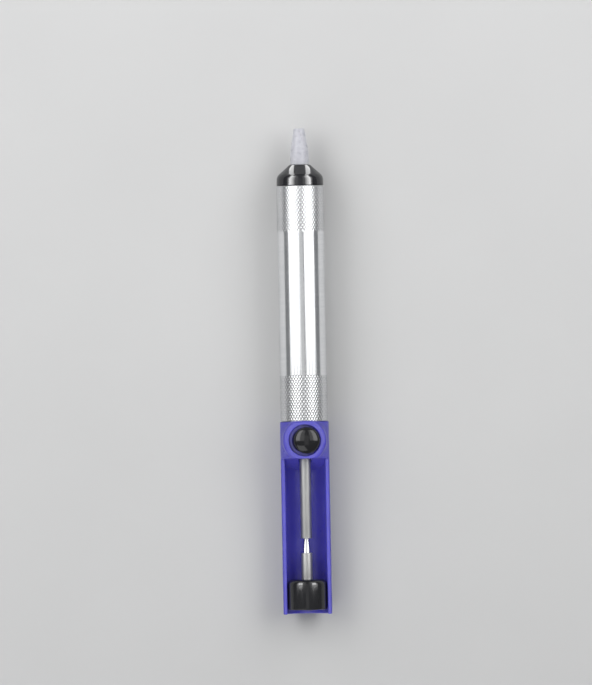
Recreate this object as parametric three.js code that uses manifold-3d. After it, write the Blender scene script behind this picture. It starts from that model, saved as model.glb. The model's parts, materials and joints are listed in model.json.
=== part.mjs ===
// A hand-held desoldering pump: an aluminium barrel with a sprung piston, a nose cap with a PTFE nozzle,
// and a handle with a release button and a half-tube thumb guard.
// Millimetres. The pump lies on its back: its axis is along Y, the nozzle points to +Y and the button to +Z.
// The plunger is out, as it is after the release.

import * as THREE from "three";
import { mergeVertices } from "three/addons/utils/BufferGeometryUtils.js";
import Module from "manifold-3d";

const wasm = await Module();
wasm.setup();

// ---------------------------------------------------------------- driving dimensions
// A station is a distance along the axis, back from the nozzle's tip.

const LENGTH = 195;
const SEAM = 0.1; // gap between two pieces that sit on each other
const RUNNING_GAP = 0.15; // gap round a piece that slides or turns
const WIDE_SIDES = 36; // faces round a barrel-sized piece
const SLIM_SIDES = 24; // faces round a rod-sized piece

const NOZZLE_TIP_RADIUS = 2.15;
const NOZZLE_RADIUS = 3.7;
const NOZZLE_CONE_LENGTH = 9;
const NOZZLE_BORE = 1.2;
const NOZZLE_SHANK_RADIUS = 3.0;
const NOZZLE_SHANK_END = 22;
const NOZZLE_GROOVE = { start: 17.2, end: 18.8, radius: 2.1 }; // for its O-ring

const CAP_START = 14.6;
const CAP_CONE_END = 19.2;
const CAP_LIP_RADIUS = 4.2;
const CAP_RADIUS = 9.45;
const CAP_CHAMBER_RADIUS = 6.3;
const SPIGOT_RADIUS = 8.25; // the threaded ends that screw into the barrel

const BARREL_START = 23;
const BARREL_END = 117.6;
const BARREL_RADIUS = 9.5;
const BORE_RADIUS = 8.5;
const FRONT_SPIGOT_END = 31.4;
const REAR_SPIGOT_START = 109.7;
const THREAD_CHAMFER = 0.6;
const CAP_GROOVE = { start: BARREL_START - SEAM, end: BARREL_START + 1.7, radius: 7.05 }; // for its O-ring

const PISTON_START = 96;
const PISTON_END = 108;
const PISTON_RADIUS = 8.25;
const PISTON_RECESS_RADIUS = 5;
const PISTON_RECESS_START = 104;
const PISTON_GROOVE = { start: 100.8, end: 103.2, radius: 6.8 }; // for its O-ring
const WASHER_RADIUS = 4.4;
const WASHER_START = PISTON_RECESS_START + SEAM;
const WASHER_END = WASHER_START + 0.8;

const SPRING_SEAT_START = FRONT_SPIGOT_END + SEAM;
const SPRING_SEAT_END = SPRING_SEAT_START + 0.8;
const SPRING_RADIUS = 7.1; // to the middle of the wire
const SPRING_WIRE = 1.2;
const SPRING_TURNS = 17;

const PIN_TIP = 40;
const PIN_END = 92.3;
const PIN_RADIUS = 0.9;
const NUT_START = 90;
const NUT_HALF_WIDTH = 3; // from the axis to a flat
const NUT_FACE_RADIUS = 2.6;

const ROD_START = 92.6;
const ROD_THREAD_RADIUS = 1.7;
const ROD_RADIUS = 2.25;
const GROOVE_START = 164.6;
const GROOVE_END = 170.4;
const GROOVE_RADIUS = 1.1;
const GROOVE_CONE_RADIUS = 1.7;

const KNOB_START = 181;
const KNOB_END = 193.2;
const KNOB_RADIUS = 7.9;
const KNOB_FRONT_FILLET = 2;
const KNOB_REAR_EDGE = 0.6;
const INSERT_START = 183.6;
const INSERT_END = 190.9;
const INSERT_RADIUS = 3.2;

const COLLAR_START = 117.7;
const COLLAR_END = 132.4;
const COLLAR_RADIUS = 9.8;
const TROUGH_RADIUS = 8.35;
const GUARD_EDGE_HEIGHT = 2.5; // above the axis
const BULKHEAD_SLOPE = 0.47; // how far the collar's rear face runs back for each millimetre down the trough
const BUSH_RADIUS = 4.5;
const BUSH_END = 119;
const BUSH_FLANGE_RADIUS = 6.5;
const BUSH_FLANGE_END = 111;
const BUMPER_HOLE_RADIUS = 2.7;
const ROD_BORE_RADIUS = 2.6;

const BUTTON_STATION = 125.1;
const BUTTON_OFFSET = 0.8; // the loose button rests against one side of its well
const BUTTON_RADIUS = 5.35;
const BUTTON_TOP = 13.2;
const BUTTON_SHOULDER = 10.8;
const BUTTON_UNDERSIDE = 9.8;
const STEM_RADIUS = 2.9;
const STEM_BOTTOM = 6;
const BOSS_RADIUS = 8.75;
const BOSS_TOP = 10.4;
const WELL_RADIUS = 6.3;
const WELL_SHELF = 7.8;
const POCKET_RADIUS = 5; // the spring's part of the well, below the shelf
const POCKET_FLOOR = 4;
const BUTTON_SPRING_RADIUS = 4.15; // to the middle of the wire
const BUTTON_SPRING_WIRE = 0.5;
const BUTTON_SPRING_TURNS = 5;

const LATCH_START = 123.7;
const LATCH_THICKNESS = 1.2;
const LATCH_HALF_WIDTH = 3.1;
const LATCH_BOTTOM = -6;
const LATCH_SHOULDER = 5.4;
const LATCH_TAB_HALF_WIDTH = 1;
const LATCH_TAB_TOP = 8.6;
const LATCH_HOLE_HALF_WIDTH = 2.5;
const LATCH_HOLE_BOTTOM = -2.45;
const LATCH_HOLE_TOP = 4.4;
const BUTTON_TRAVEL = 1.8;

// ---------------------------------------------------------------- finishes

const PTFE = { color: 0xe2e2e8, roughness: 0.45, metalness: 0 };
const BLACK_GLOSS = { color: 0x1c1c20, roughness: 0.15, metalness: 0 };
const BLUE_PLASTIC = { color: 0x3c38b4, roughness: 0.3, metalness: 0 };
const ALUMINIUM = { color: 0xd8d9dc, roughness: 0.22, metalness: 1 };
const STEEL = { color: 0xb9babc, roughness: 0.32, metalness: 1 };
const BRASS = { color: 0xb99a55, roughness: 0.35, metalness: 1 };
const RUBBER = { color: 0x222222, roughness: 0.85, metalness: 0 };
const ACETAL = { color: 0xe8e6dc, roughness: 0.5, metalness: 0 };

// ---------------------------------------------------------------- helpers

const stationToY = (station) => LENGTH / 2 - station;

// A closed outline of [radius, station] points turned round the pump's axis.
// The faces' flats, not their corners, lie at the given radii.
function turned(outline, sides = WIDE_SIDES) {
  return turnedOutline(outline.map(([radius, station]) => [radius, stationToY(station)]), sides);
}

function turnedOutline(outline, sides) {
  const toCorner = 1 / Math.cos(Math.PI / sides);
  const points = outline.map(([radius, y]) => new THREE.Vector2(radius * toCorner, y));
  if (THREE.ShapeUtils.area(points) < 0) points.reverse();
  if (points[0].x > 0) points.push(points[0].clone());
  return new THREE.LatheGeometry(points, sides, Math.PI / sides);
}

// A closed outline of [radius, height] points turned round the button's upright axis.
function turnedUpright(outline, sides = SLIM_SIDES) {
  const geometry = turnedOutline(outline, sides);
  geometry.rotateX(Math.PI / 2);
  return geometry.translate(0, stationToY(BUTTON_STATION), 0);
}

// A solid round bar between two stations.
function bar(radius, start, end, sides = SLIM_SIDES) {
  return turned([[0, start], [radius, start], [radius, end], [0, end]], sides);
}

// A flat ring between two stations.
function ring(innerRadius, outerRadius, start, end, sides = WIDE_SIDES) {
  return turned([[innerRadius, start], [outerRadius, start], [outerRadius, end], [innerRadius, end]], sides);
}

// An O-ring lying in the middle of its groove.
function oRing(groove, wireRadius, sides = WIDE_SIDES) {
  const cornersRound = 10;
  const radius = groove.radius + SEAM + wireRadius;
  const station = (groove.start + groove.end) / 2;
  const outline = [];
  for (let corner = 0; corner < cornersRound; corner++) {
    const angle = (corner / cornersRound) * 2 * Math.PI;
    outline.push([radius + wireRadius * Math.cos(angle), station + wireRadius * Math.sin(angle)]);
  }
  return turned(outline, sides);
}

// A box from its stations, its half width in X and its heights.
function block(start, end, halfWidth, bottom, top) {
  const geometry = new THREE.BoxGeometry(2 * halfWidth, end - start, top - bottom);
  return geometry.translate(0, stationToY((start + end) / 2), (bottom + top) / 2);
}

function toSolid(geometry) {
  const bare = geometry.clone();
  bare.deleteAttribute("normal");
  bare.deleteAttribute("uv");
  const merged = mergeVertices(bare, 1e-4);
  return new wasm.Manifold(
    new wasm.Mesh({
      numProp: 3,
      vertProperties: merged.attributes.position.array,
      triVerts: new Uint32Array(merged.index.array),
    }),
  );
}

function toGeometry(solid) {
  const mesh = solid.getMesh();
  const geometry = new THREE.BufferGeometry();
  geometry.setAttribute("position", new THREE.BufferAttribute(mesh.vertProperties, 3));
  geometry.setIndex(new THREE.BufferAttribute(mesh.triVerts, 1));
  geometry.computeVertexNormals();
  return geometry;
}

function cut(geometry, ...tools) {
  return toGeometry(tools.reduce((solid, tool) => solid.subtract(toSolid(tool)), toSolid(geometry)));
}

// A compression spring's centre line along +Y, with one closed turn at each end.
class SpringCurve extends THREE.Curve {
  constructor(radius, length, turns, wire) {
    super();
    Object.assign(this, { radius, length, turns, wire });
  }

  riseAt(turn) {
    const closedPitch = this.wire * 1.08;
    const openPitch = (this.length - this.wire - 2 * closedPitch) / (this.turns - 2);
    const openTurns = THREE.MathUtils.clamp(turn - 1, 0, this.turns - 2);
    return (turn - openTurns) * closedPitch + openTurns * openPitch;
  }

  getPoint(t, target = new THREE.Vector3()) {
    const turn = t * this.turns;
    const angle = turn * 2 * Math.PI;
    const y = this.wire / 2 + this.riseAt(turn);
    return target.set(this.radius * Math.cos(angle), y, this.radius * Math.sin(angle));
  }
}

// A spring of round wire, its rear end at the origin and its axis along +Y.
function spring(radius, wire, length, turns) {
  const section = new THREE.Shape();
  const stepsPerTurn = 12;
  const sides = 6;
  for (let corner = 0; corner < sides; corner++) {
    const angle = (corner / sides) * 2 * Math.PI;
    const x = (wire / 2) * Math.cos(angle);
    const y = (wire / 2) * Math.sin(angle);
    if (corner === 0) section.moveTo(x, y);
    else section.lineTo(x, y);
  }
  const extrudePath = new SpringCurve(radius, length, turns, wire);
  return new THREE.ExtrudeGeometry(section, { steps: turns * stepsPerTurn, extrudePath });
}

// ---------------------------------------------------------------- nose

function nozzle() {
  const shoulder = CAP_START - SEAM;
  const tipEdge = 0.3;
  const blend = 2; // the cone runs out into the straight part over this length
  const funnelStart = 19;
  const funnelRadius = 2.3;
  return turned(
    [
      [NOZZLE_BORE, 0],
      [NOZZLE_TIP_RADIUS - tipEdge, 0],
      [NOZZLE_TIP_RADIUS, tipEdge],
      [NOZZLE_RADIUS - 0.1, NOZZLE_CONE_LENGTH],
      [NOZZLE_RADIUS, NOZZLE_CONE_LENGTH + blend],
      [NOZZLE_RADIUS, shoulder],
      [NOZZLE_SHANK_RADIUS, shoulder],
      [NOZZLE_SHANK_RADIUS, NOZZLE_GROOVE.start],
      [NOZZLE_GROOVE.radius, NOZZLE_GROOVE.start],
      [NOZZLE_GROOVE.radius, NOZZLE_GROOVE.end],
      [NOZZLE_SHANK_RADIUS, NOZZLE_GROOVE.end],
      [NOZZLE_SHANK_RADIUS, NOZZLE_SHANK_END],
      [funnelRadius, NOZZLE_SHANK_END],
      [NOZZLE_BORE, funnelStart],
    ],
    SLIM_SIDES,
  );
}

function nozzleORing() {
  const wireRadius = 0.45;
  return oRing(NOZZLE_GROOVE, wireRadius, SLIM_SIDES);
}

function noseCap() {
  const lipChamfer = 0.2;
  const shoulderEdge = 0.3;
  const boreRadius = NOZZLE_SHANK_RADIUS + RUNNING_GAP;
  const boreEnd = 22.2;
  const chamberStart = 26.4;
  return turned([
    [boreRadius, CAP_START],
    [CAP_LIP_RADIUS - lipChamfer, CAP_START],
    [CAP_LIP_RADIUS, CAP_START + lipChamfer],
    [CAP_RADIUS - shoulderEdge, CAP_CONE_END],
    [CAP_RADIUS, CAP_CONE_END + shoulderEdge],
    [CAP_RADIUS, CAP_GROOVE.start],
    [CAP_GROOVE.radius, CAP_GROOVE.start],
    [CAP_GROOVE.radius, CAP_GROOVE.end],
    [SPIGOT_RADIUS, CAP_GROOVE.end],
    [SPIGOT_RADIUS, FRONT_SPIGOT_END - THREAD_CHAMFER],
    [SPIGOT_RADIUS - THREAD_CHAMFER, FRONT_SPIGOT_END],
    [CAP_CHAMBER_RADIUS, FRONT_SPIGOT_END],
    [CAP_CHAMBER_RADIUS, chamberStart],
    [boreRadius, boreEnd],
  ]);
}

function noseCapORing() {
  const wireRadius = 0.6;
  return oRing(CAP_GROOVE, wireRadius);
}

// ---------------------------------------------------------------- barrel and spring

function barrel() {
  const edge = 0.3;
  return turned([
    [BORE_RADIUS, BARREL_START],
    [BARREL_RADIUS - edge, BARREL_START],
    [BARREL_RADIUS, BARREL_START + edge],
    [BARREL_RADIUS, BARREL_END - edge],
    [BARREL_RADIUS - edge, BARREL_END],
    [BORE_RADIUS, BARREL_END],
  ]);
}

function springSeat() {
  return ring(CAP_CHAMBER_RADIUS + SEAM, SPIGOT_RADIUS - SEAM, SPRING_SEAT_START, SPRING_SEAT_END);
}

function mainSpring() {
  const front = SPRING_SEAT_END + SEAM;
  const rear = PISTON_START - SEAM;
  const geometry = spring(SPRING_RADIUS, SPRING_WIRE, rear - front, SPRING_TURNS);
  return geometry.translate(0, stationToY(rear), 0);
}

// ---------------------------------------------------------------- piston and rod

function piston() {
  const edge = 0.4;
  const holeRadius = ROD_THREAD_RADIUS + RUNNING_GAP;
  return turned([
    [holeRadius, PISTON_START],
    [PISTON_RADIUS - edge, PISTON_START],
    [PISTON_RADIUS, PISTON_START + edge],
    [PISTON_RADIUS, PISTON_GROOVE.start],
    [PISTON_GROOVE.radius, PISTON_GROOVE.start],
    [PISTON_GROOVE.radius, PISTON_GROOVE.end],
    [PISTON_RADIUS, PISTON_GROOVE.end],
    [PISTON_RADIUS, PISTON_END - edge],
    [PISTON_RADIUS - edge, PISTON_END],
    [PISTON_RECESS_RADIUS, PISTON_END],
    [PISTON_RECESS_RADIUS, PISTON_RECESS_START],
    [holeRadius, PISTON_RECESS_START],
  ]);
}

function pistonORing() {
  const wireRadius = 0.75;
  return oRing(PISTON_GROOVE, wireRadius);
}

function pistonWasher() {
  return ring(ROD_THREAD_RADIUS + RUNNING_GAP, WASHER_RADIUS, WASHER_START, WASHER_END, SLIM_SIDES);
}

// A hexagonal nut: the rod's thread goes in from the back, and the pin is pressed into its front.
function pistonNut() {
  const end = PISTON_START - SEAM;
  const hexagon = turned(
    [
      [0, NUT_START],
      [NUT_FACE_RADIUS, NUT_START],
      [NUT_HALF_WIDTH, NUT_START + NUT_HALF_WIDTH - NUT_FACE_RADIUS],
      [NUT_HALF_WIDTH, end],
      [0, end],
    ],
    6,
  );
  const pinHole = bar(PIN_RADIUS + SEAM, NUT_START - 1, PISTON_START);
  const threadedHole = bar(ROD_THREAD_RADIUS + SEAM, ROD_START - SEAM, PISTON_START + 1);
  return cut(hexagon, pinHole, threadedHole);
}

function cleaningPin() {
  const tipRadius = 0.5;
  const sides = 12;
  return turned(
    [
      [0, PIN_TIP],
      [tipRadius, PIN_TIP + 0.1],
      [PIN_RADIUS, PIN_TIP + 1],
      [PIN_RADIUS, PIN_END],
      [0, PIN_END],
    ],
    sides,
  );
}

function plungerRod() {
  const shoulder = WASHER_END + SEAM;
  const rearShoulder = INSERT_START - SEAM;
  const rodEnd = INSERT_END - 0.5;
  return turned(
    [
      [0, ROD_START],
      [ROD_THREAD_RADIUS, ROD_START],
      [ROD_THREAD_RADIUS, shoulder],
      [ROD_RADIUS, shoulder],
      [ROD_RADIUS, GROOVE_START],
      [GROOVE_RADIUS, GROOVE_START],
      [GROOVE_CONE_RADIUS, GROOVE_END],
      [ROD_RADIUS, GROOVE_END],
      [ROD_RADIUS, rearShoulder],
      [ROD_THREAD_RADIUS, rearShoulder],
      [ROD_THREAD_RADIUS, rodEnd],
      [0, rodEnd],
    ],
    SLIM_SIDES,
  );
}

function knob() {
  const filletMiddle = (1 - Math.SQRT1_2) * KNOB_FRONT_FILLET;
  const holeRadius = ROD_RADIUS + RUNNING_GAP;
  const pocketRadius = INSERT_RADIUS + SEAM;
  return turned([
    [holeRadius, KNOB_START],
    [KNOB_RADIUS - KNOB_FRONT_FILLET, KNOB_START],
    [KNOB_RADIUS - filletMiddle, KNOB_START + filletMiddle],
    [KNOB_RADIUS, KNOB_START + KNOB_FRONT_FILLET],
    [KNOB_RADIUS, KNOB_END - KNOB_REAR_EDGE],
    [KNOB_RADIUS - KNOB_REAR_EDGE, KNOB_END],
    [0, KNOB_END],
    [0, INSERT_END + SEAM],
    [pocketRadius, INSERT_END + SEAM],
    [pocketRadius, INSERT_START - SEAM],
    [holeRadius, INSERT_START - SEAM],
  ]);
}

function knobInsert() {
  return ring(ROD_THREAD_RADIUS + SEAM, INSERT_RADIUS, INSERT_START, INSERT_END, SLIM_SIDES);
}

// ---------------------------------------------------------------- handle

function rearBumper() {
  return ring(BUMPER_HOLE_RADIUS, SPIGOT_RADIUS - SEAM, PISTON_END + SEAM, REAR_SPIGOT_START - SEAM);
}

function rodGuideBush() {
  const hole = ROD_RADIUS + RUNNING_GAP;
  return turned(
    [
      [hole, REAR_SPIGOT_START],
      [BUSH_FLANGE_RADIUS, REAR_SPIGOT_START],
      [BUSH_FLANGE_RADIUS, BUSH_FLANGE_END],
      [BUSH_RADIUS, BUSH_FLANGE_END],
      [BUSH_RADIUS, BUSH_END],
      [hole, BUSH_END],
    ],
    SLIM_SIDES,
  );
}

// The threaded spigot, the collar and a whole tube for the guard, in one solid bar.
function handleBlank() {
  return turned([
    [0, REAR_SPIGOT_START],
    [SPIGOT_RADIUS - THREAD_CHAMFER, REAR_SPIGOT_START],
    [SPIGOT_RADIUS, REAR_SPIGOT_START + THREAD_CHAMFER],
    [SPIGOT_RADIUS, COLLAR_START],
    [COLLAR_RADIUS, COLLAR_START],
    [COLLAR_RADIUS, LENGTH],
    [0, LENGTH],
  ]);
}

// An upright disc about the button's axis, between two heights.
function uprightDisc(radius, bottom, top) {
  return turnedUpright([[0, bottom], [radius, bottom], [radius, top], [0, top]], WIDE_SIDES);
}

// The round flat-topped boss for the button, flush with the collar's front face.
function boss() {
  const behindFront = block(COLLAR_START, LENGTH, COLLAR_RADIUS, -1, BOSS_TOP + 1);
  return toSolid(uprightDisc(BOSS_RADIUS, 0, BOSS_TOP)).intersect(toSolid(behindFront));
}

// Everything behind the collar's rear face: upright above the guard's edges, leaning back below them.
function behindBulkhead() {
  const reach = 20;
  const face = stationToY(COLLAR_END);
  const side = new THREE.Shape();
  side.moveTo(face, reach);
  side.lineTo(stationToY(LENGTH + reach), reach);
  side.lineTo(stationToY(LENGTH + reach), -reach);
  side.lineTo(face - BULKHEAD_SLOPE * (GUARD_EDGE_HEIGHT + reach), -reach);
  side.lineTo(face, GUARD_EDGE_HEIGHT);
  side.closePath();
  const geometry = new THREE.ExtrudeGeometry(side, { depth: 2 * reach, bevelEnabled: false });
  geometry.translate(0, 0, -reach);
  // The shape's X and Y become the pump's Y and Z.
  const turn = new THREE.Matrix4().makeBasis(
    new THREE.Vector3(0, 1, 0),
    new THREE.Vector3(0, 0, 1),
    new THREE.Vector3(1, 0, 0),
  );
  return geometry.applyMatrix4(turn);
}

// The half-tube's hollow and all that is above its edges.
function trough() {
  const hollow = bar(TROUGH_RADIUS, COLLAR_START, LENGTH + 1, WIDE_SIDES);
  const above = block(COLLAR_START, LENGTH + 1, 2 * COLLAR_RADIUS, GUARD_EDGE_HEIGHT, 2 * COLLAR_RADIUS);
  return toSolid(hollow).add(toSolid(above)).intersect(toSolid(behindBulkhead()));
}

function handle() {
  const well = uprightDisc(WELL_RADIUS, WELL_SHELF, BOSS_TOP + 1);
  const pocket = uprightDisc(POCKET_RADIUS, POCKET_FLOOR, BOSS_TOP + 1);
  const flangeSeat = bar(BUSH_FLANGE_RADIUS + RUNNING_GAP, REAR_SPIGOT_START - 1, BUSH_FLANGE_END + SEAM);
  const bushBore = bar(BUSH_RADIUS + SEAM, REAR_SPIGOT_START, BUSH_END + SEAM);
  const rodBore = bar(ROD_BORE_RADIUS, BUSH_END, LENGTH);
  const latchSlot = block(
    LATCH_START - RUNNING_GAP,
    LATCH_START + LATCH_THICKNESS + RUNNING_GAP,
    LATCH_HALF_WIDTH + RUNNING_GAP,
    LATCH_BOTTOM - BUTTON_TRAVEL - 2 * RUNNING_GAP,
    POCKET_FLOOR + 1,
  );
  const tools = [well, pocket, flangeSeat, bushBore, rodBore, latchSlot].map(toSolid);
  const blank = toSolid(handleBlank()).add(boss()).subtract(trough());
  return toGeometry(tools.reduce((solid, tool) => solid.subtract(tool), blank));
}

// ---------------------------------------------------------------- button and latch

// A domed cap on a stem, which is slotted for the latch plate's tab.
function pushButton() {
  const domeRise = BUTTON_TOP - BUTTON_SHOULDER;
  const domeSteps = 6;
  const outline = [
    [0, STEM_BOTTOM],
    [STEM_RADIUS, STEM_BOTTOM],
    [STEM_RADIUS, BUTTON_UNDERSIDE],
    [BUTTON_RADIUS, BUTTON_UNDERSIDE],
  ];
  for (let step = 0; step <= domeSteps; step++) {
    const angle = (step / domeSteps) * (Math.PI / 2);
    const radius = step === domeSteps ? 0 : BUTTON_RADIUS * Math.cos(angle);
    outline.push([radius, BUTTON_SHOULDER + domeRise * Math.sin(angle)]);
  }
  const tabSlot = block(
    LATCH_START - RUNNING_GAP,
    LATCH_START + LATCH_THICKNESS + RUNNING_GAP,
    LATCH_TAB_HALF_WIDTH + RUNNING_GAP + BUTTON_OFFSET,
    STEM_BOTTOM - 1,
    LATCH_TAB_TOP + RUNNING_GAP,
  );
  return cut(turnedUpright(outline), tabSlot);
}

// A plate standing across the rod, with a tall hole for it and a tab that the button sits on.
function latchPlate() {
  const plate = block(
    LATCH_START,
    LATCH_START + LATCH_THICKNESS,
    LATCH_HALF_WIDTH,
    LATCH_BOTTOM,
    LATCH_SHOULDER,
  );
  const tab = block(
    LATCH_START,
    LATCH_START + LATCH_THICKNESS,
    LATCH_TAB_HALF_WIDTH,
    LATCH_SHOULDER - 1,
    LATCH_TAB_TOP,
  );
  const hole = block(
    LATCH_START - 1,
    LATCH_START + LATCH_THICKNESS + 1,
    LATCH_HOLE_HALF_WIDTH,
    LATCH_HOLE_BOTTOM,
    LATCH_HOLE_TOP,
  );
  return toGeometry(toSolid(plate).add(toSolid(tab)).subtract(toSolid(hole)));
}

function buttonSpring() {
  const bottom = POCKET_FLOOR + SEAM;
  const length = BUTTON_UNDERSIDE - SEAM - bottom;
  const geometry = spring(BUTTON_SPRING_RADIUS, BUTTON_SPRING_WIRE, length, BUTTON_SPRING_TURNS);
  geometry.rotateX(Math.PI / 2);
  return geometry.translate(0, stationToY(BUTTON_STATION), bottom);
}

// ---------------------------------------------------------------- assembly

const pump = new THREE.Group();
pump.position.z = COLLAR_RADIUS; // the handle's back lies on z = 0

// Adds a piece, moved sideways by its offset.
function place(name, geometry, finish, offset = 0) {
  const mesh = new THREE.Mesh(geometry, new THREE.MeshStandardMaterial(finish));
  mesh.name = name;
  mesh.position.x = offset;
  pump.add(mesh);
}

place("nozzle", nozzle(), PTFE);
place("nozzle_o_ring", nozzleORing(), RUBBER);
place("nose_cap", noseCap(), BLACK_GLOSS);
place("nose_cap_o_ring", noseCapORing(), RUBBER);
place("barrel", barrel(), ALUMINIUM);
place("spring_seat", springSeat(), STEEL);
place("main_spring", mainSpring(), STEEL);
place("cleaning_pin", cleaningPin(), STEEL);
place("piston_nut", pistonNut(), BRASS);
place("piston", piston(), ACETAL);
place("piston_o_ring", pistonORing(), RUBBER);
place("piston_washer", pistonWasher(), STEEL);
place("plunger_rod", plungerRod(), STEEL);
place("knob", knob(), BLACK_GLOSS);
place("knob_insert", knobInsert(), BRASS);
place("rear_bumper", rearBumper(), RUBBER);
place("rod_guide_bush", rodGuideBush(), ACETAL);
place("handle", handle(), BLUE_PLASTIC);
place("push_button", pushButton(), BLACK_GLOSS, BUTTON_OFFSET);
place("latch_plate", latchPlate(), STEEL);
place("button_spring", buttonSpring(), STEEL, BUTTON_OFFSET / 4);

export default pump;
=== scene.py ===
"""The looks of a desoldering pump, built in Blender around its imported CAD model.

Pieces are made in millimetres round the pump's axis: a place along it is a station, the distance back
from the nozzle's tip, and a height is measured up from it. to_frame() moves them into the frame's metres.
"""

import json
import math

import bpy
import numpy as np
from mathutils import Euler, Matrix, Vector


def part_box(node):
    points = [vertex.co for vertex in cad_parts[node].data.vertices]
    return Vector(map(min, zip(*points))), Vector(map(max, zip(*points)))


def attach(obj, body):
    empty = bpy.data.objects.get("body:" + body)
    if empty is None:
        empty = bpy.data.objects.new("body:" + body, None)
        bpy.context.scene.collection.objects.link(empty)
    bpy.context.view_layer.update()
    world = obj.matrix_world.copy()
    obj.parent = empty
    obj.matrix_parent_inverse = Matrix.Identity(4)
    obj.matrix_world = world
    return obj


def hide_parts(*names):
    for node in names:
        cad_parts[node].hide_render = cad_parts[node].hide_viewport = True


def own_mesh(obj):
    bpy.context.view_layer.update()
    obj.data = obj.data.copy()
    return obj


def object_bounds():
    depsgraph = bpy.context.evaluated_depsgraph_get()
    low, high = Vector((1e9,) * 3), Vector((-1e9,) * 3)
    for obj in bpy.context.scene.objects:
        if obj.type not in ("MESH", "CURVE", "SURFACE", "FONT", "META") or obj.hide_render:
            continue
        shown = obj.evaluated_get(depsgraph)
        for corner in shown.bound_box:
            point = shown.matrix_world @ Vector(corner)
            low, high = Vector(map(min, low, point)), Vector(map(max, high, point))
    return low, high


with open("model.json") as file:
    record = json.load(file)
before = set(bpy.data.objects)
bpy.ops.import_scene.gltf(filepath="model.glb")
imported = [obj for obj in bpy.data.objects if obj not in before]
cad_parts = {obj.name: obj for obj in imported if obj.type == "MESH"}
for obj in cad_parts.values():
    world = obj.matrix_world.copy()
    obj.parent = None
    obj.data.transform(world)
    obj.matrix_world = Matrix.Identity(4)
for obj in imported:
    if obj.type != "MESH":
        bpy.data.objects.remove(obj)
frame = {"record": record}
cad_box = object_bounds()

MM = 0.001
FRONT = cad_box[1].y  # the nozzle's tip
AXIS_HEIGHT = sum(corner.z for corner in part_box("barrel")) / 2
RECORD = frame["record"]
BODY_OF = {node: body for body, nodes in RECORD["behaviour"]["bodies"].items() for node in nodes}
SLOT_OF = {row["node"]: row["material_slot"] for row in RECORD["subparts"]}
TRAVEL = {joint["name"]: joint.get("range_m", [0, 0])[1] / MM for joint in RECORD["behaviour"]["joints"]}


def span(node):
    """A turned CAD node's first station, last station and radius."""
    low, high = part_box(node)
    return (FRONT - high.y) / MM, (FRONT - low.y) / MM, (high.x - low.x) / 2 / MM


def heights(node):
    """A CAD node's lowest and highest point above the axis."""
    return tuple((corner.z - AXIS_HEIGHT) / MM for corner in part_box(node))


# ---------------------------------------------------------------- sizes that the boxes don't give

SEAM = 0.1  # between pieces that lie against each other
RUNNING_GAP = 0.15  # round what slides or turns, and round a rod through a washer
BORE_RADIUS = 8.5
SPIGOT_RADIUS = 8.25
THREAD_PITCH = 1.5
THREAD_DEPTH = 0.35

KNURL_STARTS = 48
KNURL_PITCH = 2.0  # along the axis
KNURL_DEPTH = 0.06
KNURL_GROOVE = 0.25  # half a groove's width, as a share of the pitch
KNURL_LENGTH = 18.8
KNURL_RUN_OUT = 0.7
KNURL_SAMPLES = 8  # rows and columns in one pitch

ROD_THREAD_RADIUS = 1.7
GROOVE_START = 164.6
GROOVE_END = 170.4
BUSH_RADIUS = 4.5
BUSH_FLANGE = 1.3

TROUGH_RADIUS = 8.35
GUARD_EDGE_HEIGHT = 2.5
COLLAR_END = 132.4
BULKHEAD_SLOPE = 0.47

BUTTON_STATION = sum((FRONT - corner.y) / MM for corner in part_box("push_button")) / 2
BOSS_RADIUS = 8.75
BOSS_TOP = 10.4
WELL_RADIUS = 6.3
WELL_SHELF = 7.8
POCKET_RADIUS = 5.0
POCKET_FLOOR = 4.0
BUTTON_SHOULDER = 10.8
BUTTON_UNDERSIDE = 9.8
LATCH_CLEARANCE = 0.15
LATCH_TAB_HALF = 1.0


# ---------------------------------------------------------------- making meshes

def to_frame(points):
    """Points in millimetres about the axis, with Y forward from the tip, moved to the frame's metres."""
    return np.asarray(points, float) * MM + np.array([0.0, FRONT, AXIS_HEIGHT])


def new_piece(node, points, faces, material, normals=None, sharp_angle=32):
    """A smooth-shaded piece that stands for a CAD node and rides on its body."""
    mesh = bpy.data.meshes.new("fine_" + node)
    mesh.from_pydata(to_frame(points).tolist(), [], [list(face) for face in faces])
    mesh.validate()
    mesh.shade_smooth()
    if normals is None:
        mesh.set_sharp_from_angle(angle=math.radians(sharp_angle))
    else:
        mesh.normals_split_custom_set_from_vertices(normals.tolist())
    mesh.materials.append(material)
    piece = bpy.data.objects.new("fine_" + node, mesh)
    bpy.context.scene.collection.objects.link(piece)
    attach(piece, BODY_OF[node])
    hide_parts(node)
    return piece


def rounded(corners, steps=5):
    """A closed outline of (station, radius) points, from corners that may name a fillet radius third."""
    outline = []
    for index, corner in enumerate(corners):
        point = np.array(corner[:2], float)
        if len(corner) == 2:
            outline.append(tuple(point))
            continue
        before = np.array(corners[index - 1][:2]) - point
        after = np.array(corners[(index + 1) % len(corners)][:2]) - point
        # A fillet takes up less than half of each side.
        reach = 0.48 * min(np.linalg.norm(before), np.linalg.norm(after))
        before /= np.linalg.norm(before)
        after /= np.linalg.norm(after)
        half = math.acos(np.clip(before @ after, -1, 1)) / 2
        fillet = min(corner[2], reach * math.tan(half))
        middle = (before + after) / np.linalg.norm(before + after)
        centre = point + middle * fillet / math.sin(half)
        start = point + before * fillet / math.tan(half) - centre
        end = point + after * fillet / math.tan(half) - centre
        sweep = math.pi - 2 * half
        for step in range(steps + 1):
            part = step / steps * sweep
            turned_by = (math.sin(sweep - part) * start + math.sin(part) * end) / math.sin(sweep)
            outline.append(tuple(centre + turned_by))
    return outline


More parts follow.
